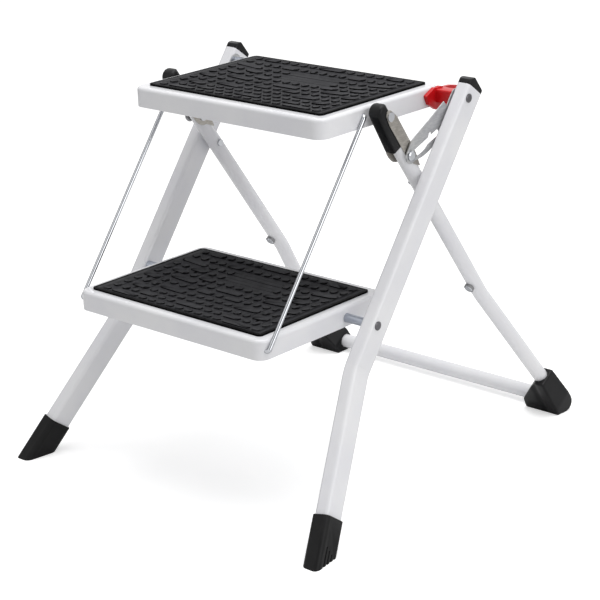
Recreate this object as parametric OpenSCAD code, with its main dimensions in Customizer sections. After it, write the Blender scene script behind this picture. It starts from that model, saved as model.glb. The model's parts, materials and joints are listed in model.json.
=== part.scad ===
// Folding two-step stool: two tube front legs carry two dished steel steps on cross axles,
// a bent tube rear frame hangs from the upper step, and a slotted link on each side ties
// the rear frame to the upper axle. Millimetres, +Z up, +X to the right of the user who
// climbs from -Y. The origin lies on the floor in the middle of the footprint.

/* [Steps] */
// Width of each pressed steel step over its side walls
step_w = 300.4; // [260:0.2:380]
// Depth of each step from front to back
step_d = 216; // [196:1:260]
// Height of a step's wall from the standing surface to its lower edge
wall_h = 26.2; // [23:0.2:40]
// Sheet thickness of the steps
sheet_t = 1.2; // [0.8:0.1:2]
// Plan radius of the step corners
corner_r = 14; // [8:1:24]
// Radius of the pressed edge round the top of a step
edge_r = 4; // [2:0.5:6]
// Width of the hem folded inwards under the walls
hem_w = 5; // [3:0.5:7]
// Depth of the hollow pressed into the middle of each step
dish_h = 5.5; // [2:0.5:6]
// Height of the upper standing surface above the floor
top_h = 465.2; // [440:0.2:520]

/* [Mats] */
// Bare steel beside each mat
rim_side = 12.2; // [8:0.1:20]
// Bare steel ahead of the upper mat
rim_front = 15; // [10:0.5:20]
// Bare steel behind the upper mat
rim_back = 11; // [10:0.5:16]
// Bare steel ahead of the lower mat
rim_front_low = 12; // [8:0.5:18]
// Thickness of a mat without its studs
mat_t = 2.4; // [2:0.1:4]
// Corner radius of a mat
mat_r = 5; // [3:0.5:10]
// Plain border round the dished field of a mat
mat_border = 4; // [3:0.5:8]
// Distance of the outer studs' centres from a mat's side edges
stud_side = 16.4; // [12:0.1:20]
// Distance of the outer studs' centres from a mat's front and back edges
stud_end = 10.8; // [10:0.1:14]
// Stud width
stud_w = 10; // [6:0.2:11]
// Stud height
stud_h = 0.9; // [0.5:0.1:1.5]

/* [Front legs] */
// Width of the front leg tube from side to side
leg_w = 18.5; // [16:0.5:24]
// Depth of the front leg tube
leg_d = 31; // [26:0.5:36]
// Corner radius of the front leg tube
leg_r = 4.5; // [3:0.5:7]
// Wall of the front leg tube
leg_wall = 1.4; // [1:0.1:2]
// Backward lean of the front legs
leg_lean = 36.88; // [34:0.02:39]
// Outward splay of the lower leg
leg_splay = 13.3; // [8:0.1:16]
// Distance below the upper axle at which the leg turns outward
leg_turn = 346; // [330:1:360]
// Distance of the tube's centre line behind the axles
leg_back = 6.5; // [4:0.5:8]
// Length of tube above the upper axle
leg_top = 14.2; // [12:0.2:24]
// Height of the caps at their level front
cap_h = 11.3; // [9:0.1:14]
// Height of the caps at the back of the leg
cap_back_h = 4.3; // [3:0.1:6]
// Distance between the two axles along the leg
axle_gap = 288.8; // [270:0.2:300]
// Wall of the rubber feet
foot_wall = 2.3; // [1.5:0.1:4]
// Height of the front feet along the leg
foot_h = 57; // [40:1:70]
// Thickness of rubber under the tube ends
sole_t = 5; // [3:0.5:8]

/* [Axles] */
// Diameter of the two cross axles
axle_d = 8; // [6:0.5:9]
// Diameter of the riveted axle heads
head_d = 10.6; // [10:0.2:13]
// Distance of the upper axle from the back of the upper step
top_axle_in = 7.8; // [6:0.2:9]
// Depth of the upper axle below the standing surface
top_axle_z = 12.2; // [11:0.2:14]
// Distance of the lower axle from the back of the lower step
low_axle_in = 71; // [60:1:90]
// Depth of the lower axle below the standing surface
low_axle_z = 15.4; // [15:0.2:18]
// Diameter of the spacer sleeves on the axles
spacer_d = 10.8; // [10:0.2:13]

/* [Rods] */
// Diameter of the chrome rods
rod_d = 5; // [4:0.2:5.4]
// Distance of the rods' lower ends from the front of the lower step
rod_in = 9.3; // [8:0.1:10]

/* [Rear frame] */
// Diameter of the rear tubes
tube_d = 18.8; // [17:0.2:20]
// Wall of the rear tubes
tube_wall = 1.2; // [1:0.1:2]
// Forward lean of the rear frame
rear_lean = 35.15; // [33:0.1:37]
// Distance of the rear pivot behind the upper ends of the rods
rear_behind_rod = 17; // [16.7:0.1:23.7]
// Depth of the rear pivot below the standing surface
rear_z = 13.2; // [12:0.2:14]
// Distance of the rear pivot behind the tube's centre line
pivot_off = 2.9; // [1:0.1:3.5]
// Distance from the rear pivot to the knee pin along the tube
knee_u = 61.8; // [58:0.2:66]
// Distance from the rear pivot to the stop rivet along the tube
rivet_u = 111; // [95:1:130]
// Distance from the rear pivot to the buffer along the tube
buffer_u = 296; // [270:1:305]
// Distance from the rear pivot to the outward turn of the tube
rear_turn = 319.6; // [312:0.2:340]
// Outward splay of the lower rear tube
rear_splay = 9; // [5:0.1:12]
// Centre line radius of the rear corner bends
rear_bend_r = 26; // [22:1:36]
// Height of the rear bar's centre above the floor
bar_h = 14.5; // [13.5:0.5:20]
// Wall of the rear corner boots
boot_wall = 3; // [2:0.2:5]
// Reach of a boot's toe ahead of the rear bar
boot_toe = 17.5; // [15:0.5:22]
// Height of a boot up the rear tube, above the bar
boot_h = 56; // [50:1:64]

/* [Links and brackets] */
// Sheet thickness of the links
link_t = 1.2; // [1:0.1:1.5]
// Outward set of a link's free part
link_joggle = 0.9; // [0.5:0.1:1.2]
// Radius of the link's eye round the axle
link_eye_r = 9; // [8:0.5:11]
// Radius of the link's end round the knee pin
link_end_r = 9.5; // [8.5:0.5:11]
// Width of the slot in the link
slot_w = 8.2; // [7:0.2:9]
// Sheet thickness of the brackets
bracket_t = 1; // [0.8:0.1:1.2]
// Length of a bracket's tail below the knee pin
tail_l = 25; // [20:0.5:30]
// Height of a bracket's web across the front of the tube
web_h = 16.2; // [12:0.2:20]
// Thickness of the red lock lever
lever_t = 4.8; // [3:0.1:5]
// Reach of the lever behind the upper axle
lever_back = 35.5; // [30:0.5:40]
// Reach of the lever's nose ahead of the upper axle
lever_nose = 26; // [24:0.5:30]
// Drop of the lever below the upper axle
lever_drop = 17.5; // [15:0.5:20]

/* [Folding] */
// Fold of the steps from open to closed
fold = 100; // [60:5:100]
// Turn of the rear frame back towards the upper step for each degree of fold
rear_ratio = 0.43; // [0.42:0.005:0.46]
// Turn of a link on the axle for each degree of fold
link_ratio = 1.2; // [1.15:0.01:1.25]

/* [Fits] */
// Side gap between plates that turn past each other
side_gap = 0.25; // [0.2:0.05:0.5]
// Radial clearance of a turning fit
run_fit = 0.06; // [0.03:0.01:0.1]
// Radial clearance of a fixed fit
fix_fit = 0.04; // [0.02:0.01:0.1]
// Radial clearance of the knee pin in the link's slot
slot_fit = 0.35; // [0.3:0.05:0.5]

/* [Hidden] */
$fn = 48;

steel = [0.93, 0.93, 0.94];
zinc = [0.62, 0.63, 0.66];
black = [0.13, 0.13, 0.14];
chrome = [0.8, 0.82, 0.85];
red = [0.8, 0.08, 0.1];
far = 900;
// A bend draws a tube in a little, and its straight parts reach into it
bend_draw = 0.1;
bend_lap = 0.8;

// Steps and mats
mat_w = step_w - 2 * rim_side;
mat_d = step_d - rim_front - rim_back;
top_axle_y = mat_d / 2 + rim_back - top_axle_in;
low_h = top_h - top_axle_z - axle_gap * cos(leg_lean) + low_axle_z;
low_step_back = top_axle_y - axle_gap * sin(leg_lean) + low_axle_in;
low_y = low_step_back - step_d + rim_front_low + mat_d / 2;
low_axle_y = low_step_back - low_axle_in - low_y;
rod_low_y = low_step_back - step_d + rod_in - low_y;
rod_y = low_y + rod_low_y + axle_gap * sin(leg_lean);
rear_y = rod_y + rear_behind_rod;
field_x = mat_w / 2 - mat_border;
field_y = mat_d / 2 - mat_border;
dish_rx = (field_x * field_x + dish_h * dish_h) / (2 * dish_h);
dish_ry = (field_y * field_y + dish_h * dish_h) / (2 * dish_h);
// Studs of each row from the back, as runs of joined studs; a negative run is left plain
rows = [[1, 2, 1, 1, 1, 1, 3, 1, 1, 1, 1, 2, 1], [1, 1, 1, 1, 2, 1, 1, 1, 1, 1, 2, 1, 1, 1, 1],
    [3, 1, 1, 1, -5, 1, 1, 1, 3], [1, 1, 2, 1, 1, -5, 1, 1, 2, 1, 1],
    [1, 2, 1, 2, 1, 1, 1, 1, 1, 2, 1, 2, 1], [1, 1, 3, 1, 1, 3, 1, 1, 3, 1, 1],
    [2, 1, 1, 1, 1, 2, 1, 2, 1, 1, 1, 1, 2], [1, 1, 1, 3, 1, 1, 1, 1, 1, 3, 1, 1, 1],
    [1, 2, 1, 1, 1, 1, 1, 1, 1, 1, 1, 1, 1, 2, 1], [1, 1, 1, 2, 1, 1, 3, 1, 1, 2, 1, 1, 1],
    [1, 3, 1, 1, 1, 1, 1, 1, 1, 1, 1, 3, 1]];
columns = 17;
stud_dx = (mat_w - 2 * stud_side) / (columns - 1);
stud_dy = (mat_d - 2 * stud_end) / (len(rows) - 1);

// Places of the layers from the step's side wall outwards
wall_x = step_w / 2;
rod_x = wall_x + side_gap + rod_d / 2;
cheek_in = rod_x + rod_d / 2 + side_gap;
tube_x = cheek_in + bracket_t + 0.1 + tube_d / 2;
cheek_out = tube_x + tube_d / 2 + 0.1;
link_x = cheek_out + bracket_t + side_gap;
leg_in = link_x + link_t + side_gap;
leg_x = leg_in + leg_w / 2;

// Front leg and axles
axle_r = axle_d / 2;
top_axle_h = top_h - top_axle_z;
low_axle_h = low_h - low_axle_z;
low_axle_pos = low_y + low_axle_y;
leg_bend_r = 60;
leg_tan = leg_bend_r * tan(leg_splay / 2);
foot_front = leg_d / 2 + foot_wall - leg_back;

// Rear frame, in its own plane: x, distance behind the plane, distance down the tube
rear_o = [rear_y - pivot_off * cos(rear_lean), top_h - rear_z - pivot_off * sin(rear_lean)];
bar_u = (rear_o[1] - bar_h) / cos(rear_lean);
bar_y = rear_o[0] + bar_u * sin(rear_lean);
splay_bend_r = 80;
rear_tan = splay_bend_r * tan(rear_splay / 2);
corner_z = -bar_u + rear_bend_r;
corner_x = tube_x + (-corner_z - rear_bend_r * sin(rear_splay) - rear_turn) * tan(rear_splay)
    - rear_bend_r * cos(rear_splay);
stub_l = 17.5;
stub_end = corner_x - stub_l;
boot_back = tube_d / 2 + boot_wall;
boot_round = 12;
boot_round_y = bar_y + (boot_back - boot_round - (boot_round - bar_h) * sin(rear_lean))
    / cos(rear_lean);

// The footprint is centred on the origin
front_end = top_axle_y - top_axle_h * tan(leg_lean) - foot_front / cos(leg_lean);
rear_end = boot_round_y + boot_round;
shift_y = -(front_end + rear_end) / 2;

// Knee pin seen from the upper axle, and its path in the link as the stool folds
pin_r = 3.5;
knee_r = 2.5;
axle_at = [top_axle_y, top_axle_h];
pivot_at = [rear_y, top_h - rear_z];
knee_at = rear_o + knee_u * [sin(rear_lean), -cos(rear_lean)];
function turned(v, a) = [v[0] * cos(a) + v[1] * sin(a), -v[0] * sin(a) + v[1] * cos(a)];
function knee_path(a) = turned(turned(pivot_at - axle_at, a)
    + turned(knee_at - pivot_at, a * (1 - rear_ratio)), -link_ratio * a);
knee_from_axle = knee_at - axle_at;
knee_dist = norm(knee_from_axle);
knee_dir = knee_from_axle / knee_dist;
// Position in the link: distance from the axle towards the knee, and height above that line
function in_link(v) = [v * knee_dir, v[0] * knee_dir[1] - v[1] * knee_dir[0]];
path_steps = 20;
path = [for (i = [0 : path_steps]) in_link(knee_path(fold * i / path_steps))];
// Direction square to the path at one of its points
function path_side(i) = let (t = path[min(i + 1, path_steps)] - path[max(i - 1, 0)])
    [-t[1], t[0]] / norm(t);

// Points of an arc
function arc(c, r, a0, a1, n = 6) =
    [for (i = [0 : n]) c + r * [cos(a0 + (a1 - a0) * i / n), sin(a0 + (a1 - a0) * i / n)]];

// ---- helpers ----

// Whole stool from the middle of the upper mat to the middle of the footprint
module placed() {
    translate([0, shift_y, 0]) children();
}

module both_sides() {
    children();
    mirror([1, 0, 0]) children();
}

module side(left) {
    if (left) mirror([1, 0, 0]) children();
    else children();
}

// Frame of the front legs: origin on the upper axle, z up the leg, y behind it
module leg_frame() {
    translate([0, top_axle_y, top_axle_h]) rotate([-leg_lean, 0, 0]) children();
}

// Frame of the rear tubes: origin on the centre line beside the pivot, z up the tube
module rear_frame() {
    translate([0, rear_o[0], rear_o[1]]) rotate([rear_lean, 0, 0]) children();
}

// Extrude a shape drawn as (y, z) along x, from x0 over length l
module along_x(x0, l) {
    translate([x0, 0, 0]) rotate([90, 0, 90]) linear_extrude(l) children();
}

// Pin along x
module pin(x0, l, r) {
    translate([x0, 0, 0]) rotate([0, 90, 0]) cylinder(r = r, h = l);
}

module rounded_rect(w, d, r) {
    square([w - 2 * r, d], center = true);
    square([w, d - 2 * r], center = true);
    for (x = [-1, 1])
        for (y = [-1, 1])
            translate([x * (w / 2 - r), y * (d / 2 - r)]) circle(r);
}

// Everything below a height
module below(h) {
    translate([-far, -far, h - far]) cube([2 * far, 2 * far, far]);
}

// ---- steps and mats ----

// Section of a step's edge: deck, rounded corner, wall and folded hem
module pan_section() {
    deck = -mat_t;
    inner = edge_r - sheet_t;
    c = [corner_r - edge_r, deck - edge_r];
    polygon(concat([[0, deck - sheet_t], [0, deck]], arc(c, edge_r, 90, 0),
        [[corner_r, -wall_h], [corner_r - hem_w, -wall_h], [corner_r - hem_w, -wall_h + sheet_t],
        [corner_r - sheet_t, -wall_h + sheet_t]], arc(c, inner, 0, 90)));
}

// Hollow of the dish below height z: where two wide cylinders meet
module dish(z, above = 0) {
    intersection() {
        translate([0, 0, z - dish_h + dish_rx]) rotate([90, 0, 0])
            cylinder(r = dish_rx, h = 2 * field_y + 2 * corner_r, center = true, $fn = 720);
        translate([0, 0, z - dish_h + dish_ry]) rotate([0, 90, 0])
            cylinder(r = dish_ry, h = 2 * field_x + 2 * corner_r, center = true, $fn = 360);
        translate([-field_x - 1, -field_y - 1, z - dish_h - 1])
            cube([2 * field_x + 2, 2 * field_y + 2, dish_h + 1 + above]);
    }
}

// Pressed step: origin over the middle of its mat, on the standing surface
module step_pan(rim, axle_y, axle_z, pins) {
    mid = step_d / 2 - rim - mat_d / 2;
    lx = step_w / 2 - corner_r;
    ly = step_d / 2 - corner_r;
    difference() {
        union() {
            translate([0, mid, 0]) {
                for (s = [0, 1]) mirror([0, s, 0])
                    translate([0, ly, 0]) along_x(-lx, 2 * lx) pan_section();
                for (s = [0, 1]) mirror([s, 0, 0])
                    translate([lx, ly, 0]) rotate([90, 0, 0]) linear_extrude(2 * ly) pan_section();
                for (s = [0, 1]) for (t = [0, 1]) mirror([s, 0, 0]) mirror([0, t, 0])
                    translate([lx, ly, 0]) rotate_extrude(angle = 90) pan_section();
                translate([-lx, -ly, -mat_t - sheet_t]) cube([2 * lx, 2 * ly, sheet_t]);
            }
            dish(-mat_t - sheet_t);
        }
        dish(-mat_t, 1);
        translate([0, axle_y, -axle_z]) pin(-far / 2, far, axle_r + run_fit);
        for (p = pins) translate([0, p[0], -p[1]]) pin(-far / 2, far, p[2] + run_fit);
    }
}

// Depth of the dish at a point, and the two slopes of a stud that lies there
function dip_x(x) = dish_h * (1 - pow(x / field_x, 2));
function dip_y(y) = dish_h * (1 - pow(y / field_y, 2));
function tilt_x(x, y) = dip_x(x) < dip_y(y) ? atan(2 * dish_h * x / pow(field_x, 2)) : 0;
function tilt_y(x, y) = dip_x(x) < dip_y(y) ? 0 : atan(2 * dish_h * y / pow(field_y, 2));
function before(run, i) = i == 0 ? 0 : abs(run[i - 1]) + before(run, i - 1);

module stud(n) {
    l = (n - 1) * stud_dx;
    linear_extrude(2 * stud_h) {
        if (n > 1) square([l, stud_w], center = true);
        for (s = n > 1 ? [-1, 1] : [0]) translate([s * l / 2, 0]) circle(stud_w / 2, $fn = 24);
    }
}

module mat() {
    difference() {
        union() {
            translate([0, 0, -mat_t]) linear_extrude(mat_t) rounded_rect(mat_w, mat_d, mat_r);
            dish(-mat_t);
        }
        dish(0, 1);
    }
    for (j = [0 : len(rows) - 1])
        for (i = [0 : len(rows[j]) - 1])
            if (rows[j][i] > 0) {
                n = rows[j][i];
                x = (before(rows[j], i) + (n - columns) / 2) * stud_dx;
                y = ((len(rows) - 1) / 2 - j) * stud_dy;
                translate([x, y, -min(dip_x(x), dip_y(y))])
                    rotate([tilt_y(x, y), -tilt_x(x, y), 0])
                        translate([0, 0, -stud_h]) stud(n);
            }
}

module top_step() color(steel) placed() translate([0, 0, top_h])
    step_pan(rim_front, top_axle_y, top_axle_z,
        [[rod_y, top_axle_z, rod_d / 2], [rear_y, rear_z, pin_r]]);

module low_step() color(steel) placed() translate([0, low_y, low_h])
    step_pan(rim_front_low, low_axle_y, low_axle_z, [[rod_low_y, low_axle_z, rod_d / 2]]);

module top_mat() color(black) placed() translate([0, 0, top_h]) mat();

module low_mat() color(black) placed() translate([0, low_y, low_h]) mat();

// ---- front legs ----

module leg_tube(grow = 0, wall = 0) {
    difference() {
        rounded_rect(leg_w + 2 * grow, leg_d + 2 * grow, leg_r + grow);
        if (wall > 0) rounded_rect(leg_w + 2 * grow - 2 * wall, leg_d + 2 * grow - 2 * wall,
            leg_r + grow - wall);
    }
}

// Frame of the splayed part of the leg, z up, origin at the end of the bend
module lower_leg() {
    translate([leg_x + leg_bend_r, leg_back, -leg_turn + leg_tan])
        rotate([0, -leg_splay, 0]) translate([-leg_bend_r, 0, 0]) children();
}

module front_leg(left) {
    color(steel) placed() side(left) difference() {
        leg_frame() difference() {
            union() {
                translate([leg_x, leg_back, -leg_turn + leg_tan - bend_lap])
                    linear_extrude(leg_top + leg_turn - leg_tan + bend_lap) leg_tube(0, leg_wall);
                translate([leg_x + leg_bend_r, leg_back, -leg_turn + leg_tan])
                    rotate([90, 180, 0]) rotate_extrude(angle = leg_splay)
                        translate([leg_bend_r, 0]) leg_tube(-bend_draw, leg_wall - 2 * bend_draw);
                lower_leg() translate([0, 0, -far / 2]) linear_extrude(far / 2 + bend_lap)
                    leg_tube(0, leg_wall);
            }
            for (z = [0, -axle_gap]) translate([0, 0, z]) pin(leg_in - 1, leg_w + 2, axle_r + fix_fit);
        }
        below(sole_t);
    }
}

// Plug cap with a level front and a long slope to the back
module leg_cap(left) {
    plug = leg_top - axle_r - 2;
    color(black) placed() side(left) leg_frame() translate([leg_x, leg_back, leg_top]) {
        intersection() {
            linear_extrude(cap_h) leg_tube();
            along_x(-leg_w, 2 * leg_w) polygon([[-leg_d / 2, 0], [-leg_d / 2, cap_h / 2],
                [-leg_d / 2 + 6.7, cap_h], [leg_d / 2, cap_back_h], [leg_d / 2, 0]]);
        }
        translate([0, 0, -plug]) linear_extrude(plug) leg_tube(-leg_wall - fix_fit);
    }
}

// Rubber foot pushed over the tube, cut level with the floor, with grip grooves
module front_foot(left) {
    color(black) placed() side(left) difference() {
        leg_frame() lower_leg() foot_block();
        below(0);
        difference() {
            leg_frame() lower_leg() translate([0, 0, -far / 2]) linear_extrude(far) leg_tube(fix_fit);
            below(sole_t);
        }
        leg_frame() lower_leg() for (i = [0 : 3])
            translate([leg_w / 2 + foot_wall - 1.2, -8 + 5.5 * i, floor_z() - 20])
                cube([4, 2, 36 - 3 * i]);
    }
}

// Height in the lower leg's frame at which its centre line meets the floor
function floor_z() = let (
    y = leg_back,
    z = -leg_turn + leg_tan - leg_bend_r * sin(leg_splay),
    h = top_axle_h - y * sin(leg_lean) + z * cos(leg_lean))
    -h / (cos(leg_lean) * cos(leg_splay));

module foot_block() {
    translate([0, 0, floor_z() - 60]) linear_extrude(foot_h + 60) leg_tube(foot_wall);
}

// ---- axles ----

module axle(y, h, back = 0) {
    reach = leg_x + leg_w / 2;
    translate([0, y, h]) {
        pin(-reach, 2 * reach, axle_r);
        both_sides() {
            pin(reach, 0.8, head_d / 2);
            translate([reach + 0.8, 0, 0]) rotate([0, 90, 0])
                cylinder(r1 = head_d / 2, r2 = head_d / 2 - 1.2, h = 0.7);
        }
    }
}

module upper_axle() color(zinc) placed() axle(top_axle_y, top_axle_h);

module lower_axle() color(zinc) placed() axle(low_axle_pos, low_axle_h);

// Sleeve on an axle between a step's wall and the next plate
module spacer(y, h, x1) {
    translate([0, y, h]) difference() {
        pin(wall_x + side_gap, x1 - wall_x - side_gap, spacer_d / 2);
        pin(wall_x, far, axle_r + fix_fit);
    }
}

module upper_spacer() color(zinc) placed()
    mirror([1, 0, 0]) spacer(top_axle_y, top_axle_h, link_x - side_gap);

module lower_spacers() color(zinc) placed()
    both_sides() spacer(low_axle_pos, low_axle_h, leg_in);

// ---- rods ----

// Outer face of the clip at a rod's end: inside the flat wall of the upper step, and
// inside the rounded corner of the lower one
clip_r = rod_d / 2 + 1.6;
clip_l = 4;
clip_x = [wall_x - sheet_t - side_gap, wall_x - side_gap - corner_r
    + sqrt(pow(corner_r - sheet_t, 2) - pow(corner_r - rod_in + clip_r, 2))];

// Chrome rod with both ends bent square into the steps' walls
module rod(left) {
    r = rod_d / 2;
    bend = r + 0.1;
    color(chrome) placed() side(left) translate([rod_x, rod_y, top_axle_h])
        rotate([-leg_lean, 0, 0]) {
            translate([0, 0, -axle_gap + bend]) cylinder(r = r, h = axle_gap - 2 * bend);
            for (s = [0, 1]) translate([0, 0, -s * axle_gap]) mirror([0, 0, s]) {
                translate([-bend, 0, -bend]) rotate([90, 0, 0]) rotate_extrude(angle = 90)
                    translate([bend, 0]) circle(r);
                pin(clip_x[s] - clip_l / 2 - rod_x, rod_x - bend - clip_x[s] + clip_l / 2, r);
            }
        }
}

// Push-on caps that hold the rod's ends inside the walls
module rod_clips(left) {
    color(zinc) placed() side(left) for (s = [0, 1])
        translate([clip_x[s], rod_y - s * axle_gap * sin(leg_lean),
            top_axle_h - s * axle_gap * cos(leg_lean)])
            difference() {
                pin(-clip_l, clip_l, clip_r);
                pin(-clip_l / 2 - 0.05, clip_l, rod_d / 2 + fix_fit);
            }
}

// ---- rear frame ----

module tube_ring(grow = 0, draw = 0) {
    difference() {
        circle(tube_d / 2 + grow - draw);
        if (grow == 0) circle(tube_d / 2 - tube_wall + draw);
    }
}

// Frame of the splayed part of a rear tube, z up, origin at the end of its bend
module lower_tube() {
    translate([tube_x + splay_bend_r, 0, -rear_turn + rear_tan])
        rotate([0, -rear_splay, 0]) translate([-splay_bend_r, 0, 0]) children();
}

// Ring swept along a rear tube's centre line, from its top end to the start of the bar
module rear_sweep(grow = 0) {
    top = 10;
    end_z = -rear_turn + rear_tan - splay_bend_r * sin(rear_splay);
    low_len = (end_z - corner_z - rear_bend_r * sin(rear_splay)) / cos(rear_splay);
    translate([tube_x, 0, -rear_turn + rear_tan - bend_lap])
        linear_extrude(top + rear_turn - rear_tan + bend_lap) tube_ring(grow);
    translate([tube_x + splay_bend_r, 0, -rear_turn + rear_tan]) rotate([90, 180, 0])
        rotate_extrude(angle = rear_splay) translate([splay_bend_r, 0])
            tube_ring(grow, bend_draw);
    lower_tube() translate([0, 0, -low_len]) {
        translate([0, 0, -bend_lap]) linear_extrude(low_len + 2 * bend_lap) tube_ring(grow);
        translate([-rear_bend_r, 0, 0]) {
            rotate([-90, 0, 0]) rotate_extrude(angle = 90 + rear_splay)
                translate([rear_bend_r, 0]) tube_ring(grow, bend_draw);
            rotate([0, 90 + rear_splay, 0]) translate([rear_bend_r, 0, -stub_l])
                linear_extrude(stub_l + bend_lap) tube_ring(grow);
        }
    }
}

module rear_leg(left) {
    color(steel) placed() side(left) rear_frame() difference() {
        rear_sweep();
        translate([0, pivot_off, 0]) pin(tube_x - tube_d, 2 * tube_d, pin_r + fix_fit);
        translate([0, 0, -knee_u]) pin(tube_x - tube_d, 2 * tube_d, pin_r + fix_fit);
        translate([0, 0, -rivet_u]) pin(tube_x - tube_d, tube_d, 2 + fix_fit);
        translate([tube_x, -tube_d / 2 - 1, -buffer_u]) rotate([-90, 0, 0])
            cylinder(r = 2 + fix_fit, h = tube_d / 2);
    }
}

module rear_bar() color(steel) placed() rear_frame() translate([-stub_end, 0, -bar_u])
    rotate([0, 90, 0]) linear_extrude(2 * stub_end) tube_ring();

// Boot that stands the frame's corner on the floor: toe in front, open towards leg and bar
module rear_boot(left) {
    out = tube_d / 2 + boot_wall;
    x_in = corner_x - 7.5;
    toe_y = bar_y - boot_toe;
    top_u = boot_h + 14;
    heel = [boot_round_y, boot_round];
    color(black) placed() side(left) difference() {
        intersection() {
            along_x(x_in, far) polygon(concat([[toe_y, 0]], arc(heel, boot_round, -90, rear_lean, 10),
                [rear_point(top_u, out), [toe_y - 30, boot_h + 3]]));
            rear_frame() rotate([90, 0, 0]) linear_extrude(far, center = true)
                polygon([[x_in, -bar_u - boot_h], [x_in, -bar_u + out],
                    [x_in + 33, -bar_u + boot_h + 2], [x_in + 33, -bar_u + top_u],
                    [outer_x(top_u), -bar_u + top_u], [outer_x(0) + 1, -bar_u + 6],
                    [outer_x(0) + 3, -bar_u - boot_h]]);
        }
        rear_frame() rear_sweep(fix_fit);
        rear_frame() translate([0, -far - 2, -bar_u + boot_h]) cube([far, far, far]);
        below(0);
    }
}

// Point of the rear frame's side view, u up from the bar and n behind the frame's plane
function rear_point(u, n) = [bar_y - u * sin(rear_lean) + n * cos(rear_lean),
    bar_h + u * cos(rear_lean) + n * sin(rear_lean)];
// Outer side of the boot at a distance above the bar
function outer_x(u) = tube_x + (bar_u - u - rear_turn) * tan(rear_splay)
    + (tube_d / 2 + boot_wall) / cos(rear_splay);

// ---- brackets and sleeves at the top of the rear tubes ----

// Cheek of a bracket, drawn as (behind the tube, up the tube)
module cheek_shape() {
    web_u = -knee_u - 2;
    front = -tube_d / 2 - 1.2;
    polygon([[-3, 4], [1, 9], [7, 7.5], [9, 2], [11, web_u - 5.2], [6.7, -knee_u - tail_l],
        [0, web_u - web_h / 2], [front, web_u - web_h], [front, web_u], [-3, web_u]]);
}

module bracket(left) {
    color(zinc) placed() side(left) rear_frame() difference() {
        union() {
            for (x = [cheek_in, cheek_out]) along_x(x, bracket_t) cheek_shape();
            translate([cheek_in, -tube_d / 2 - 1.2, -knee_u - 2 - web_h])
                cube([cheek_out + bracket_t - cheek_in, 1, web_h]);
        }
        translate([0, pivot_off, 0]) pin(cheek_in - 1, far, pin_r + fix_fit);
        translate([0, 0, -knee_u]) pin(cheek_in - 1, far, pin_r + fix_fit);
    }
}

// Black sleeve that rounds off the tube's top and covers its front
module sleeve(left) {
    round_r = 16;
    color(black) placed() side(left) rear_frame() difference() {
        along_x(cheek_in, cheek_out + bracket_t - cheek_in) intersection() {
            union() {
                translate([0, 2.6]) circle(round_r);
                polygon([[-round_r, 2.6], [-14, -knee_u], [-2, -knee_u], [0, 2.6]]);
            }
            translate([-round_r, -knee_u - 1]) square([round_r + 7.5, knee_u + 2 * round_r + 4]);
        }
        translate([tube_x, 0, -knee_u - 20]) cylinder(r = tube_d / 2 + fix_fit, h = knee_u + 30);
        for (x = [cheek_in, cheek_out]) along_x(x, bracket_t) cheek_shape();
        translate([0, pivot_off, 0]) pin(cheek_in - 1, far, pin_r + fix_fit);
        translate([0, 0, -knee_u]) pin(cheek_in - 1, far, pin_r + fix_fit);
    }
}

// Pin through the upper step's wall, both cheeks and the tube, with a head at each end
module rear_pivot_pins() {
    inner = wall_x - sheet_t - side_gap;
    outer = cheek_out + bracket_t;
    color(chrome) placed() both_sides() rear_frame() translate([0, pivot_off, 0]) {
        pin(inner - 1.6, outer + 1.4 - inner, pin_r);
        pin(inner - 1.6, 1.6, 6);
        pin(outer + 0.01, 1.3, 5.5);
    }
}

// Stepped pin through cheeks and tube whose thin end slides in the link's slot
module knee_pins() {
    inner = cheek_in;
    outer = cheek_out + bracket_t;
    head = link_x + link_t + link_joggle + side_gap;
    color(chrome) placed() both_sides() rear_frame() translate([0, 0, -knee_u]) {
        pin(inner - 1.4, outer + 1.3 - inner, pin_r);
        pin(inner - 1.4, 1.35, 5.5);
        pin(outer - 0.1, head - outer + 0.2, knee_r);
        pin(head, 1.2, 6);
        translate([head + 1.2, 0, 0]) rotate([0, 90, 0]) cylinder(r1 = 6, r2 = 4.6, h = 0.9);
    }
}

module stop_rivets() color(chrome) placed() both_sides() rear_frame()
    translate([0, 0, -rivet_u]) {
        pin(tube_x - tube_d / 2 - 1, 4, 2);
        pin(tube_x - tube_d / 2 - 2.4, 2, 4.4);
    }

module buffer_at() {
    both_sides() rear_frame() translate([tube_x, -tube_d / 2, -buffer_u])
        rotate([90, 0, 0]) children();
}

module buffer_washers() color(chrome) placed() buffer_at() {
    translate([0, 0, 3.4]) cylinder(r1 = 5.6, r2 = 4.8, h = 1);
    translate([0, 0, -4]) cylinder(r = 2, h = 7.4);
}

module buffer_discs() color(zinc) placed() buffer_at() difference() {
    cylinder(r = 6.3, h = 3.4);
    translate([0, 0, -1]) cylinder(r = 2 + fix_fit, h = 5);
    translate([0, 0, -tube_d / 2]) rotate([90, 0, 0])
        cylinder(r = tube_d / 2 + fix_fit, h = 20, center = true);
}

// ---- links ----

// Outline of a link: (towards the knee pin, above the line from axle to knee pin).
// Its neck stays behind the leg, and the plate starts with a square corner beyond it.
module link_shape() {
    belly_r = 0.6227 * knee_dist;
    belly = [0.636, 0.426] * knee_dist;
    difference() {
        polygon(concat(arc([0, 0], link_eye_r, 69, 290, 14), arc(belly, belly_r, -132, -56, 14),
            arc([knee_dist, 0], link_end_r, -72, 62, 10),
            [[knee_dist - 10.4, 14.5], [20.3, 10.4], [18.9, 2]]));
        circle(axle_r + run_fit);
        knee_slot();
    }
}

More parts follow.
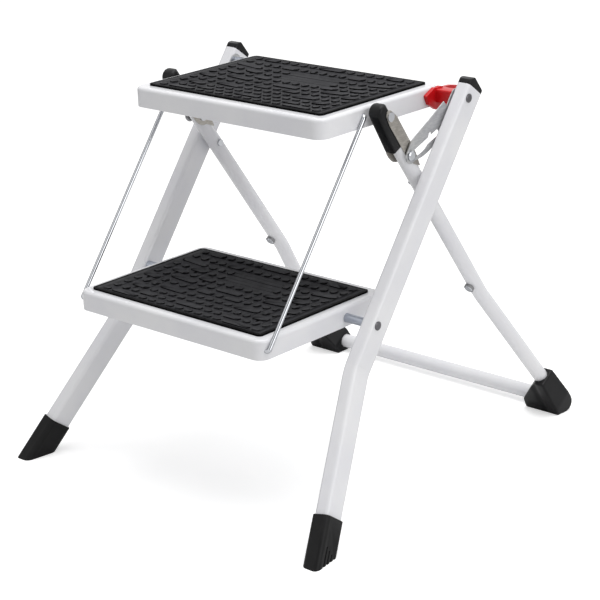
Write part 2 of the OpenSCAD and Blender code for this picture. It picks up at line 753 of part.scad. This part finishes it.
// Slot: a straight window, widened where the knee pin's path leaves it
module knee_slot() {
    half = knee_r + slot_fit;
    a = [knee_dist - 6, -1.9];
    b = [0.5, -0.1162] * knee_dist;
    dir = (b - a) / norm(b - a);
    n = [-dir[1], dir[0]] * slot_w / 2;
    polygon([a + n, b + n, b - n, a - n]);
    for (p = [a, b]) translate(p) circle(slot_w / 2);
    polygon(concat([for (i = [0 : path_steps]) path[i] + half * path_side(i)],
        [for (i = [path_steps : -1 : 0]) path[i] - half * path_side(i)]));
    for (p = [path[0], path[path_steps]]) translate(p) circle(half);
}

// Section of the link's sheet across the leg: flat behind the leg, sloped, then flat again
module link_sheet() {
    m2 = leg_d / 2 - leg_back + 3;
    m1 = m2 + 18.3;
    polygon([[-40, 0], [m2, 0], [m1, link_joggle], [knee_dist, link_joggle],
        [knee_dist, link_joggle + link_t], [m1, link_joggle + link_t], [m2, link_t], [-40, link_t]]);
}

module link(left) {
    angle = atan2(knee_dir[1], knee_dir[0]);
    color(zinc) placed() side(left) intersection() {
        translate([link_x - 2, top_axle_y, top_axle_h]) rotate([90, 0, 90])
            linear_extrude(8) rotate(angle) mirror([0, 1]) link_shape();
        leg_frame() translate([link_x, 0, -far / 2]) linear_extrude(far)
            rotate(-90) link_sheet();
    }
}

// ---- lock lever ----

// Red lever on the upper axle: plate with a nose, thumb ramp and hub
module lock_lever() {
    x0 = wall_x + side_gap + 0.15;
    x1 = x0 + lever_t;
    color(red) placed() translate([0, top_axle_y, top_axle_h]) difference() {
        union() {
            along_x(x0, lever_t) {
                polygon([[-lever_nose, 1.4], [16 - lever_nose, 9], [-2, 7], [lever_back - 15.5, 6.5],
                    [lever_back, 3.4], [lever_back - 1.5, -2], [lever_back - 15.5, 3.5 - lever_drop],
                    [8, -lever_drop], [-9, -lever_drop], [4.6 - lever_nose, 8.3 - lever_drop]]);
                circle(9);
            }
            pin(x0, link_x - side_gap - x0, 6.6);
        }
        pin(x0 - 1, far, axle_r + run_fit);
        translate([x1, 0, 9]) rotate([0, -38, 0]) translate([0, 2, -3]) cube([10, 40, 20]);
        translate([x1 - 2, -7.5, -4]) cube([5, 4, 9]);
    }
}

front_leg(true);  // front_leg_left
front_leg(false);  // front_leg_right
leg_cap(true);  // leg_cap_left
leg_cap(false);  // leg_cap_right
front_foot(true);  // front_foot_left
front_foot(false);  // front_foot_right
upper_axle();
lower_axle();
upper_spacer();
lower_spacers();
top_step();
top_mat();
low_step();
low_mat();
rod(true);  // rod_left
rod(false);  // rod_right
rod_clips(true);  // rod_clips_left
rod_clips(false);  // rod_clips_right
rear_leg(true);  // rear_leg_left
rear_leg(false);  // rear_leg_right
rear_bar();
rear_boot(true);  // rear_boot_left
rear_boot(false);  // rear_boot_right
bracket(true);  // bracket_left
bracket(false);  // bracket_right
sleeve(true);  // sleeve_left
sleeve(false);  // sleeve_right
rear_pivot_pins();
knee_pins();
stop_rivets();
buffer_discs();
buffer_washers();
link(true);  // link_left
link(false);  // link_right
lock_lever();
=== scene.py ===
import json
import math

import bmesh
import bpy
from mathutils import Matrix, Vector


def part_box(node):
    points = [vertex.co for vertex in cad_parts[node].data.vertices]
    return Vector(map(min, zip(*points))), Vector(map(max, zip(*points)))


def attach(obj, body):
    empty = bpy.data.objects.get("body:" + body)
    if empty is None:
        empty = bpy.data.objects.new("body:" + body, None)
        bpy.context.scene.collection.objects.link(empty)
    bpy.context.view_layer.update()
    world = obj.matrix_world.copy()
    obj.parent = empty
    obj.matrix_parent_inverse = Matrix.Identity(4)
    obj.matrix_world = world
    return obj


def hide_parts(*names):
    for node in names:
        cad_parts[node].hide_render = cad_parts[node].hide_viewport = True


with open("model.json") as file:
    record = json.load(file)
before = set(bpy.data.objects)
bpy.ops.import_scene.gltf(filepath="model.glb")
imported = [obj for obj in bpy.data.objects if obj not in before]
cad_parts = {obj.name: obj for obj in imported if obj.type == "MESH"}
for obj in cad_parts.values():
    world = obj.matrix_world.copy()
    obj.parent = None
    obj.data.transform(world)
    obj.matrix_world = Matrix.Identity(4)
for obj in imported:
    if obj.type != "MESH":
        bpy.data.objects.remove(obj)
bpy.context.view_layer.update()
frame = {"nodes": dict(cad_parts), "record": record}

MM = 0.001

# From the vertical: the rear tubes lean forward, the front legs lean back, and below their
# bend the front legs splay outwards
REAR_LEAN = math.radians(35.15)
LEG_LEAN = math.radians(36.88)
LEG_SPLAY = math.radians(13.3)
# Beyond this distance from the middle an axle shows its riveted head
HEAD_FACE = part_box("upper_axle")[1][0] - 1.45 * MM
# Radius of the lever's bore round the axle
AXLE_BORE = 4.06 * MM


def colour(code):
    """Linear colour of an sRGB hex value."""
    parts = [int(code[i:i + 2], 16) / 255 for i in (0, 2, 4)]
    return [p / 12.92 if p <= 0.04045 else ((p + 0.055) / 1.055) ** 2.4 for p in parts] + [1.0]


def add(tree, kind, links=(), **settings):
    """Add a node, set its properties and sockets by name, and link (socket, source) pairs."""
    node = tree.nodes.new(kind)
    for key, value in settings.items():
        if hasattr(node, key):
            setattr(node, key, value)
        else:
            node.inputs[key.replace("_", " ")].default_value = value
    for socket, source in links:
        tree.links.new(source, node.inputs[socket])
    return node


def finish(name, base, roughness, **sockets):
    """A material with a Principled shader, its tree, and the piece's own coordinates."""
    material = bpy.data.materials.new(name)
    material.use_nodes = True
    tree = material.node_tree
    shader = tree.nodes["Principled BSDF"]
    shader.inputs["Base Color"].default_value = colour(base)
    shader.inputs["Roughness"].default_value = roughness
    for key, value in sockets.items():
        shader.inputs[key.replace("_", " ")].default_value = value
    place = add(tree, "ShaderNodeTexCoord").outputs["Object"]
    return material, tree, shader, place


def grain(tree, shader, place, size, depth, stretch=(1, 1, 1)):
    """Bump from noise whose lumps are about size metres across and depth metres high."""
    turned = add(tree, "ShaderNodeMapping", [("Vector", place)], Scale=stretch)
    noise = add(tree, "ShaderNodeTexNoise", [("Vector", turned.outputs["Vector"])],
                Scale=1 / size, Detail=2.0, Roughness=0.55)
    bump = add(tree, "ShaderNodeBump", [("Height", noise.outputs["Fac"])],
               Strength=1.0, Distance=depth)
    tree.links.new(bump.outputs["Normal"], shader.inputs["Normal"])


def vary(tree, shader, place, socket, low, high, size):
    """Drive one socket between two values with slow noise."""
    noise = add(tree, "ShaderNodeTexNoise", [("Vector", place)], Scale=1 / size, Detail=3.0)
    spread = add(tree, "ShaderNodeMapRange", [("Value", noise.outputs["Fac"])],
                 From_Min=0.3, From_Max=0.7, To_Min=low, To_Max=high)
    tree.links.new(spread.outputs["Result"], shader.inputs[socket])


def tint(tree, shader, place, dark, light, size, stretch=(1, 1, 1)):
    """Drive the base colour between two colours with noise."""
    turned = add(tree, "ShaderNodeMapping", [("Vector", place)], Scale=stretch)
    noise = add(tree, "ShaderNodeTexNoise", [("Vector", turned.outputs["Vector"])],
                Scale=1 / size, Detail=3.0)
    ramp = add(tree, "ShaderNodeValToRGB", [("Fac", noise.outputs["Fac"])])
    for stop, position, shade in zip(ramp.color_ramp.elements, (0.35, 0.65), (dark, light)):
        stop.position = position
        stop.color = colour(shade)
    tree.links.new(ramp.outputs["Color"], shader.inputs["Base Color"])


def white_powder_coat():
    """Gloss white polyester powder on steel: a soft sheen with a faint orange peel."""
    material, tree, shader, place = finish("White powder coat", "E9E9EC", 0.14)
    tint(tree, shader, place, "E6E6EA", "ECECEE", 60 * MM)
    grain(tree, shader, place, 3 * MM, 0.012 * MM)
    return material


def mat_rubber(mat):
    """Moulded black rubber: grey level faces, part own tone and part painted sheen; a near black
    border; painted shade, near black, on sloping stud sides.
    """
    material, tree, shader, place = finish("Black rubber of " + mat, "2E2E30", 0.5,
                                           Specular_IOR_Level=0.03)
    low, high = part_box(mat)
    border, blur = 4 * MM, 0.5 * MM
    level, steep_from = 0.95, 0.6
    spot = add(tree, "ShaderNodeSeparateXYZ", [("Vector", place)])
    reach = []
    for axis, letter in ((0, "X"), (1, "Y")):
        centre, half = (low[axis] + high[axis]) / 2, (high[axis] - low[axis]) / 2
        shift = add(tree, "ShaderNodeMath", [(0, spot.outputs[letter])], operation="SUBTRACT")
        shift.inputs[1].default_value = centre
        size = add(tree, "ShaderNodeMath", [(0, shift.outputs[0])], operation="ABSOLUTE")
        over = add(tree, "ShaderNodeMath", [(0, size.outputs[0])], operation="SUBTRACT")
        over.inputs[1].default_value = half - border
        reach.append(over)
    edge = add(tree, "ShaderNodeMath", [(0, reach[0].outputs[0]), (1, reach[1].outputs[0])],
               operation="MAXIMUM")
    rim = add(tree, "ShaderNodeMapRange", [("Value", edge.outputs[0])],
              From_Min=-blur, From_Max=blur)
    # Painted shade: faces that slope away from level, the stud sides above all, are painted near
    # black
    facing = add(tree, "ShaderNodeTexCoord").outputs["Normal"]
    tip = add(tree, "ShaderNodeSeparateXYZ", [("Vector", facing)])
    steep_shade = add(tree, "ShaderNodeMapRange", [("Value", tip.outputs["Z"])],
                From_Min=level, From_Max=steep_from)
    black = add(tree, "ShaderNodeMath", [(0, rim.outputs["Result"]), (1, steep_shade.outputs["Result"])],
                operation="MAXIMUM")
    # Grey of the level faces between two tones: partly the rubber's own dark grey, partly painted
    # sheen
    noise = add(tree, "ShaderNodeTexNoise", [("Vector", place)], Scale=1 / (25 * MM), Detail=3.0)
    flat_tone_and_sheen = add(tree, "ShaderNodeMix", [("Factor", noise.outputs["Fac"])], data_type="RGBA")
    flat_tone_and_sheen.inputs["A"].default_value = colour("2E2E30")
    flat_tone_and_sheen.inputs["B"].default_value = colour("3C3C3F")
    # Near black on the border, and painted shade on the sloping faces
    both = add(tree, "ShaderNodeMix", [("Factor", black.outputs[0])], data_type="RGBA")
    tree.links.new(flat_tone_and_sheen.outputs["Result"], both.inputs["A"])
    both.inputs["B"].default_value = colour("050506")
    tree.links.new(both.outputs["Result"], shader.inputs["Base Color"])
    vary(tree, shader, place, "Roughness", 0.45, 0.58, 12 * MM)
    grain(tree, shader, place, 0.9 * MM, 0.03 * MM)
    return material


def moulded_plastic():
    """Black polypropylene with a spark-eroded mould texture: satin, slightly sandy."""
    material, tree, shader, place = finish("Black moulded polypropylene", "0C0C0E", 0.36,
                                           Specular_IOR_Level=0.22)
    tint(tree, shader, place, "0A0A0C", "111113", 18 * MM)
    grain(tree, shader, place, 0.8 * MM, 0.03 * MM)
    return material


def foot_rubber():
    """Black moulded rubber of the feet, a little duller than the plastic."""
    material, tree, shader, place = finish("Black foot rubber", "0B0B0C", 0.42,
                                           Specular_IOR_Level=0.2)
    tint(tree, shader, place, "09090A", "101011", 15 * MM)
    grain(tree, shader, place, 1.0 * MM, 0.03 * MM)
    return material


def bright_chrome():
    """Chromed steel wire: a mirror that shows the bright surroundings, with painted dark
    reflections at its edges.
    """
    # The specular tint is far darker than chrome's own, which paints dark reflections along the
    # wire's edges
    material, tree, shader, place = finish("Chromed steel", "C9CBCF", 0.12, Metallic=1.0,
                                           Specular_Tint=colour("3C3E42"))
    vary(tree, shader, place, "Roughness", 0.09, 0.16, 15 * MM)
    return material


def blue_zinc():
    """Zinc plated turned steel with blue passivation: bright grey, with darker grey riveted heads.
    """
    material, tree, shader, place = finish("Blue zinc plate", "A9AEB8", 0.3, Metallic=1.0)
    split = add(tree, "ShaderNodeSeparateXYZ", [("Vector", place)])
    out = add(tree, "ShaderNodeMath", [(0, split.outputs["X"])], operation="ABSOLUTE")
    head = add(tree, "ShaderNodeMath", [(0, out.outputs[0])], operation="GREATER_THAN")
    head.inputs[1].default_value = HEAD_FACE
    noise = add(tree, "ShaderNodeTexNoise", [("Vector", place)], Scale=1 / (4 * MM), Detail=3.0)
    plate = add(tree, "ShaderNodeMix", [("Factor", noise.outputs["Fac"])], data_type="RGBA")
    plate.inputs["A"].default_value = colour("9CA2AE")
    plate.inputs["B"].default_value = colour("B4B8C0")
    # Darker grey on the riveted heads, beyond HEAD_FACE
    head_tone = add(tree, "ShaderNodeMix", [("Factor", head.outputs[0])], data_type="RGBA")
    tree.links.new(plate.outputs["Result"], head_tone.inputs["A"])
    head_tone.inputs["B"].default_value = colour("68676A")
    tree.links.new(head_tone.outputs["Result"], shader.inputs["Base Color"])
    grain(tree, shader, place, 0.6 * MM, 0.01 * MM)
    return material


def rolled_zinc_sheet():
    """Galvanised rolled sheet: warm grey, with faint streaks along the rolling."""
    material, tree, shader, place = finish("Galvanised sheet", "A39F98", 0.36, Metallic=1.0)
    tint(tree, shader, place, "97938C", "B0ACA6", 6 * MM, stretch=(1, 1, 4))
    grain(tree, shader, place, 0.5 * MM, 0.008 * MM, stretch=(1, 1, 6))
    return material


def bright_sheet():
    """Bright cold rolled strip of the links: cool grey, finer streaks."""
    material, tree, shader, place = finish("Bright rolled strip", "BDBEBF", 0.3, Metallic=1.0)
    tint(tree, shader, place, "B4B5B7", "C6C6C6", 7 * MM, stretch=(1, 1, 4))
    grain(tree, shader, place, 0.5 * MM, 0.006 * MM, stretch=(1, 1, 6))
    return material


def red_abs():
    """Gloss red ABS: saturated, with a sharp highlight."""
    material, tree, shader, place = finish("Red ABS", "C91218", 0.3,
                                           Specular_IOR_Level=0.35)
    tint(tree, shader, place, "C41016", "CE141B", 12 * MM)
    grain(tree, shader, place, 1.5 * MM, 0.006 * MM)
    return material


def grey_nylon():
    """Grey nylon washers behind the buffers."""
    material, tree, shader, place = finish("Grey nylon", "8B8B8D", 0.45)
    tint(tree, shader, place, "858587", "929294", 5 * MM)
    grain(tree, shader, place, 0.8 * MM, 0.01 * MM)
    return material


FINISHES = {
    "white_steel": white_powder_coat(),
    "mat_rubber": mat_rubber("low_mat"),
    "black_plastic": moulded_plastic(),
    "black_rubber": foot_rubber(),
    "chrome": bright_chrome(),
    "zinc": blue_zinc(),
    "zinc_sheet": rolled_zinc_sheet(),
    "red_plastic": red_abs(),
    "grey_plastic": grey_nylon(),
}


def rear_point(behind, up):
    """Y and Z of a point on the rear frame, behind the tube's line and up it from the pins."""
    low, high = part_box("knee_pins")
    return ((low[1] + high[1]) / 2 - up * math.sin(REAR_LEAN) + behind * math.cos(REAR_LEAN),
            (low[2] + high[2]) / 2 + up * math.cos(REAR_LEAN) + behind * math.sin(REAR_LEAN))


def dress_solids():
    """Give every solid of the frame the finish of its material slot."""
    for part in frame["record"]["subparts"]:
        solid = frame["nodes"][part["node"]]
        for place in solid.material_slots:
            place.material = FINISHES[part["material_slot"]]
    strip = bright_sheet()
    for name in ("link_left", "link_right"):
        frame["nodes"][name].material_slots[0].material = strip


def stand_in(name, mould):
    """Turn a bmesh into the shown piece of a CAD node: its finish and its body."""
    part = next(p for p in frame["record"]["subparts"] if p["node"] == name)
    mesh = bpy.data.meshes.new(name + "_shown")
    mould.to_mesh(mesh)
    mould.free()
    mesh.materials.append(FINISHES[part["material_slot"]])
    piece = bpy.data.objects.new(name + "_shown", mesh)
    bpy.context.collection.objects.link(piece)
    body = next(b for b, nodes in frame["record"]["behaviour"]["bodies"].items() if name in nodes)
    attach(piece, body)
    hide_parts(name)
    return piece


def joined_copy(name):
    """Copy of a CAD node's mesh with its corners joined."""
    mould = bmesh.new()
    mould.from_mesh(frame["nodes"][name].data)
    bmesh.ops.remove_doubles(mould, verts=mould.verts, dist=0.005 * MM)
    return mould


def merged_copy(name):
    """Copy of a CAD node's mesh with its corners joined and its flat faces whole."""
    mould = joined_copy(name)
    bmesh.ops.dissolve_limit(mould, angle_limit=math.radians(1.5), verts=mould.verts,
                             edges=mould.edges)
    return mould


def bevel(mould, edges, radius, segments=3):
    """Round the given edges."""
    bmesh.ops.bevel(mould, geom=edges, offset=radius, offset_type="OFFSET", segments=segments,
                    profile=0.5, affect="EDGES", clamp_overlap=True, material=-1)


def round_sharp(mould, radius, limit=32):
    """Round every edge sharper than limit degrees."""
    bevel(mould, [edge for edge in mould.edges
                  if edge.is_manifold and edge.calc_face_angle() > math.radians(limit)], radius)


def sweep(mould, faces, reach):
    """Extrude faces along X by reach."""
    swept = bmesh.ops.extrude_face_region(mould, geom=faces)["geom"]
    bmesh.ops.translate(mould, vec=(reach, 0, 0),
                        verts=[g for g in swept if isinstance(g, bmesh.types.BMVert)])


def smooth_sides(piece, limit=35):
    """Shade smooth, but keep edges sharper than limit degrees."""
    mesh = piece.data
    mesh.polygons.foreach_set("use_smooth", [True] * len(mesh.polygons))
    mesh.set_sharp_from_angle(angle=math.radians(limit))


def moulded(name, radius):
    """A moulded part, its edges rounded as they leave the mould."""
    mould = merged_copy(name)
    round_sharp(mould, radius)
    smooth_sides(stand_in(name, mould))


def front_foot(end):
    """Rubber foot whose collar stops a little lower on the leg."""
    collar_depth, collar_drop = 0.5 * MM, 7 * MM
    mould = merged_copy("front_foot_" + end)
    side = 1 if end == "right" else -1
    up = Vector((-side * math.sin(LEG_SPLAY), math.cos(LEG_SPLAY) * math.sin(LEG_LEAN),
                 math.cos(LEG_SPLAY) * math.cos(LEG_LEAN)))
    top = max(v.co.dot(up) for v in mould.verts)
    collar = [v for v in mould.verts if v.co.dot(up) > top - collar_depth]
    bmesh.ops.translate(mould, verts=collar, vec=-collar_drop * up)
    round_sharp(mould, 0.9 * MM)
    smooth_sides(stand_in("front_foot_" + end, mould))


def rear_boot(end):
    """Soft rubber boot: a lower rim, round corners and a shallow valley beside the tube."""
    rim_up, corner_radius = 51 * MM, 8 * MM
    valley_in, valley_foot, valley_lean = 19 * MM, 5 * MM, math.radians(9)
    valley_width, valley_depth = 4.5 * MM, 1.6 * MM
    skin_size, softenings = 1.0 * MM, 8
    name = "rear_boot_" + end
    side = 1 if end == "right" else -1
    mould = merged_copy(name)
    bar_low, bar_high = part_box("rear_bar")
    bar_up = ((bar_low[2] + bar_high[2]) / 2 - rear_point(0, 0)[1]) / math.cos(REAR_LEAN)
    cut = rear_point(0, bar_up + rim_up)
    bmesh.ops.bisect_plane(mould, geom=mould.verts[:] + mould.edges[:] + mould.faces[:],
                           plane_co=(0, *cut), clear_outer=True,
                           plane_no=(0, -math.sin(REAR_LEAN), math.cos(REAR_LEAN)))
    rim = [edge for edge in mould.edges if edge.is_boundary]
    bmesh.ops.holes_fill(mould, edges=rim, sides=0)
    corner = [edge for edge in mould.edges if edge.is_manifold and edge.calc_length() > 15 * MM
              and min(f.normal.y for f in edge.link_faces) < -0.6
              and max(side * f.normal.x for f in edge.link_faces) > 0.8]
    bevel(mould, corner, corner_radius, 6)
    piece = stand_in(name, mould)
    skin = piece.modifiers.new("Skin", "REMESH")
    skin.mode = "VOXEL"
    skin.voxel_size = skin_size
    view = bpy.context.evaluated_depsgraph_get()
    rubber = bmesh.new()
    rubber.from_mesh(piece.evaluated_get(view).data)
    piece.modifiers.clear()
    outer = max(abs(x) for x in (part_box(name)[0][0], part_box(name)[1][0]))
    for vert in rubber.verts:
        if vert.normal.y < -0.3 and vert.co.z > 1 * MM:
            valley = outer - valley_in - (vert.co.z - valley_foot) * math.tan(valley_lean)
            off = (side * vert.co.x - valley) / valley_width
            vert.co -= valley_depth * math.exp(-off * off) * vert.normal
    for _ in range(softenings):
        bmesh.ops.smooth_vert(rubber, verts=rubber.verts, factor=0.5, use_axis_x=True,
                              use_axis_y=True, use_axis_z=True)
    rubber.to_mesh(piece.data)
    rubber.free()
    smooth_sides(piece, 60)


def sleeve(end):
    """Finger guard over the top of a rear tube: a rounded cap that widens downwards."""
    side = 1 if end == "right" else -1
    low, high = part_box("sleeve_" + end)
    margin = 1.05 * MM
    inner = min(abs(low[0]), abs(high[0])) + margin
    outer = max(abs(low[0]), abs(high[0])) - margin
    cap_r, cap_u, arc_steps = 10.6 * MM, 69.8 * MM, 8
    front, front_up, back, back_up = -14.8 * MM, 18 * MM, 7.5 * MM, 15 * MM
    profile = [(front, front_up)]
    for step in range(arc_steps + 1):
        turn = math.radians(180 - step * 135 / arc_steps)
        profile.append((cap_r * math.cos(turn), cap_u + cap_r * math.sin(turn)))
    profile.append((back, back_up))
    mould = bmesh.new()
    corners = [mould.verts.new((side * inner, *rear_point(n, u))) for n, u in profile]
    sweep(mould, [mould.faces.new(corners)], side * (outer - inner))
    bmesh.ops.recalc_face_normals(mould, faces=mould.faces)
    flanks = [f for f in mould.faces if abs(f.normal.x) > 0.9]
    rims = list({edge for f in flanks for edge in f.edges})
    bevel(mould, rims, 4.5 * MM, 5)
    smooth_sides(stand_in("sleeve_" + end, mould), 50)


def bracket(end):
    """Two stamped cheeks beside the tube's top, the inner one with a round ear in front."""
    side = 1 if end == "right" else -1
    low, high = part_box("bracket_" + end)
    sheet = 1.0 * MM
    inner = min(abs(low[0]), abs(high[0]))
    outer = max(abs(low[0]), abs(high[0])) - sheet
    # Outlines of the cheeks in millimetres, as rear_point takes them
    back = [(9, 64), (11.5, 54), (11, 14), (10, -6), (6.4, -24.5)]
    plain = [(-1.5, -12), (-4.5, -5), (-4.5, 54), (-2, 68), (3, 71), (7, 69)]
    eared = [(-1.5, -12), (-6, -9.5), (-10.5, -4), (-12.6, 4), (-12.6, 12), (-9, 20), (-4.5, 26),
             (-4.5, 54), (-2, 68), (3, 71), (7, 69)]
    mould = bmesh.new()
    for x, front in ((inner, eared), (outer, plain)):
        corners = [mould.verts.new((side * x, *rear_point(n * MM, u * MM)))
                   for n, u in back + front]
        sweep(mould, [mould.faces.new(corners)], side * sheet)
    bmesh.ops.recalc_face_normals(mould, faces=mould.faces)
    corners = [edge for edge in mould.edges
               if abs((edge.verts[0].co - edge.verts[1].co).normalized().x) > 0.9]
    bevel(mould, corners, 2 * MM)
    round_sharp(mould, 0.2 * MM, 60)
    smooth_sides(stand_in("bracket_" + end, mould))


def studded_mat(name):
    """Mat whose studs stand up crisply: their tops are half a millimetre higher."""
    inset, lift = 1.5 * MM, 0.5 * MM
    low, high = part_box(name)
    mould = joined_copy(name)
    tops = set()
    for edge in mould.edges:
        if len(edge.link_faces) == 2:
            level = [f for f in edge.link_faces if f.normal.z > 0.9]
            wall = [f for f in edge.link_faces if abs(f.normal.z) < 0.5]
            if level and wall and wall[0].calc_center_median().z < edge.verts[0].co.z:
                tops.update(edge.verts)
    studs = [v for v in tops if low[0] + inset < v.co.x < high[0] - inset
             and low[1] + inset < v.co.y < high[1] - inset]
    bmesh.ops.translate(mould, verts=studs, vec=(0, 0, lift))
    piece = stand_in(name, mould)
    piece.data.materials[0] = mat_rubber(name)
    smooth_sides(piece, 20)


def lock_lever():
    """Red lever with a square-shouldered hub, bored for the axle, beside its plate."""
    mould = merged_copy("lock_lever")
    round_sharp(mould, 0.5 * MM)
    low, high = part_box("lock_lever")
    axle_low, axle_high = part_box("upper_axle")
    y, z = (axle_low[1] + axle_high[1]) / 2, (axle_low[2] + axle_high[2]) / 2
    start, end = low[0] + 2 * MM, high[0] - 0.1 * MM
    half, below, above = 8.5 * MM, 9 * MM, 6.8 * MM
    corners = [mould.verts.new((start, y + dy, z + dz))
               for dy, dz in ((-half, -below), (half, -below), (half, above), (-half, above))]
    outline = [mould.edges.new((corners[i - 1], corners[i])) for i in range(4)]
    turn = Matrix.Translation((start, y, z)) @ Matrix.Rotation(math.radians(90), 4, "Y")
    ring = bmesh.ops.create_circle(mould, segments=32, radius=AXLE_BORE, matrix=turn)["verts"]
    bore = list({edge for vert in ring for edge in vert.link_edges})
    cheek = bmesh.ops.triangle_fill(mould, edges=outline + bore, use_beauty=True)["geom"]
    sweep(mould, [g for g in cheek if isinstance(g, bmesh.types.BMFace)], end - start)
    bmesh.ops.recalc_face_normals(mould, faces=mould.faces)
    # The bore's own edges turn by far less than a square shoulder
    shoulders = [edge for edge in mould.edges
                 if edge.is_manifold and edge.calc_face_angle() > math.radians(80)
                 and abs(edge.verts[0].co.x - edge.verts[1].co.x) > 0.9 * (end - start)]
    bevel(mould, shoulders, 1.5 * MM)
    smooth_sides(stand_in("lock_lever", mould))


def dress_shapes():
    """Shapes that a sheet press, a mould or soft rubber gives and plain solids don't show."""
    for end in ("left", "right"):
        front_foot(end)
        rear_boot(end)
        sleeve(end)
        bracket(end)
        moulded("leg_cap_" + end, 0.8 * MM)
    lock_lever()
    studded_mat("top_mat")
    studded_mat("low_mat")


def camera():
    """Camera a little above the stool, ahead of it and to its right."""
    place = (1.48678, -1.63893, 0.96240)
    az, el, roll = (math.radians(a) for a in (42.395, 19.359, -2.026))
    back = Vector((math.sin(az) * math.cos(el), -math.cos(az) * math.cos(el), math.sin(el)))
    right = Vector((math.cos(az), math.sin(az), 0))
    up = back.cross(right)
    x_axis = right * math.cos(roll) + up * math.sin(roll)
    y_axis = up * math.cos(roll) - right * math.sin(roll)
    turn = Matrix((x_axis, y_axis, back)).transposed().to_4x4()
    lens = bpy.data.cameras.new("Camera")
    lens.lens = 112.72
    lens.sensor_width = 36
    view = bpy.data.objects.new("Camera", lens)
    view.matrix_world = Matrix.Translation(place) @ turn
    bpy.context.collection.objects.link(view)
    bpy.context.scene.camera = view


def lamp(name, place, target, size, power):
    """Soft square area lamp that points at a target."""
    light = bpy.data.lights.new(name, "AREA")
    light.size = size
    light.energy = power
    obj = bpy.data.objects.new(name, light)
    obj.location = place
    obj.rotation_euler = (Vector(target) - Vector(place)).to_track_quat("-Z", "Y").to_euler()
    bpy.context.collection.objects.link(obj)


def studio_floor():
    """White floor that only the camera sees glowing, more so far from the stool."""
    white = bpy.data.materials.new("Studio floor")
    white.use_nodes = True
    tree = white.node_tree
    shader = tree.nodes["Principled BSDF"]
    shader.inputs["Base Color"].default_value = colour("F2F2F2")
    shader.inputs["Roughness"].default_value = 0.9
    seen = add(tree, "ShaderNodeLightPath").outputs["Is Camera Ray"]
    spot = add(tree, "ShaderNodeTexCoord").outputs["Object"]
    away = add(tree, "ShaderNodeVectorMath", [("Vector", spot)], operation="LENGTH")
    fill = add(tree, "ShaderNodeMapRange", [("Value", away.outputs["Value"])],
               From_Min=0.9, From_Max=4.0, To_Min=0.47, To_Max=0.66)
    level = add(tree, "ShaderNodeMath", [(0, seen), (1, fill.outputs["Result"])],
                operation="MULTIPLY")
    glow = add(tree, "ShaderNodeEmission", [("Strength", level.outputs[0])], Color=(1, 1, 1, 1))
    both = add(tree, "ShaderNodeAddShader")
    tree.links.new(shader.outputs["BSDF"], both.inputs[0])
    tree.links.new(glow.outputs["Emission"], both.inputs[1])
    tree.links.new(both.outputs["Shader"], tree.nodes["Material Output"].inputs["Surface"])
    bpy.ops.mesh.primitive_plane_add(size=14, location=(0, 0, 0))
    floor = bpy.context.object
    floor.name = "Studio_floor"
    floor.data.materials.append(white)


def surroundings():
    """White world that is dimmer as a light than it looks to the camera and in gloss."""
    world = bpy.data.worlds.new("Studio")
    bpy.context.scene.world = world
    world.use_nodes = True
    tree = world.node_tree
    ray = add(tree, "ShaderNodeLightPath")
    camera_or_gloss = add(tree, "ShaderNodeMath", [(0, ray.outputs["Is Camera Ray"]),
                                                   (1, ray.outputs["Is Glossy Ray"])],
                          operation="MAXIMUM")
    clear = add(tree, "ShaderNodeMath", [(0, camera_or_gloss.outputs[0]),
                                         (1, ray.outputs["Is Transmission Ray"])],
                operation="MAXIMUM")
    level = add(tree, "ShaderNodeMapRange", [("Value", clear.outputs[0])], To_Min=0.42, To_Max=1.0)
    tree.links.new(level.outputs["Result"], tree.nodes["Background"].inputs["Strength"])
    tree.nodes["Background"].inputs["Color"].default_value = (1, 1, 1, 1)


def dark_cards(middle):
    """Dark cards that only gloss sees, so that chrome wire gets its dark lines."""
    black = bpy.data.materials.new("Black card")
    black.use_nodes = True
    card_shader = black.node_tree.nodes["Principled BSDF"]
    card_shader.inputs["Base Color"].default_value = colour("101010")
    card_shader.inputs["Specular IOR Level"].default_value = 0.0
    for name, place, width in (("Card_left", Vector((-1.9, -0.5, 0.7)), 0.8),
                               ("Card_front", Vector((1.5, -1.9, 2.2)), 1.3)):
        bpy.ops.mesh.primitive_plane_add(size=1, location=place)
        card = bpy.context.object
        card.name = name
        card.rotation_euler = (middle - place).to_track_quat("Z", "Y").to_euler()
        card.scale = (width, 1.8, 1)
        card.data.materials.append(black)
        card.visible_camera = card.visible_diffuse = card.visible_shadow = False
        card.visible_transmission = False


def studio():
    """Floor, surroundings and cards, a large lamp above and a weaker one at the right."""
    middle = Vector((0, 0, 0.25))
    studio_floor()
    surroundings()
    dark_cards(middle)
    lamp("Lamp_above", (0.3, 0.2, 2.6), middle, 2.2, 46)
    lamp("Lamp_right", (2.6, -0.3, 1.3), middle, 1.6, 12)


dress_solids()
dress_shapes()
camera()
studio()
bpy.context.scene.view_settings.view_transform = "Standard"
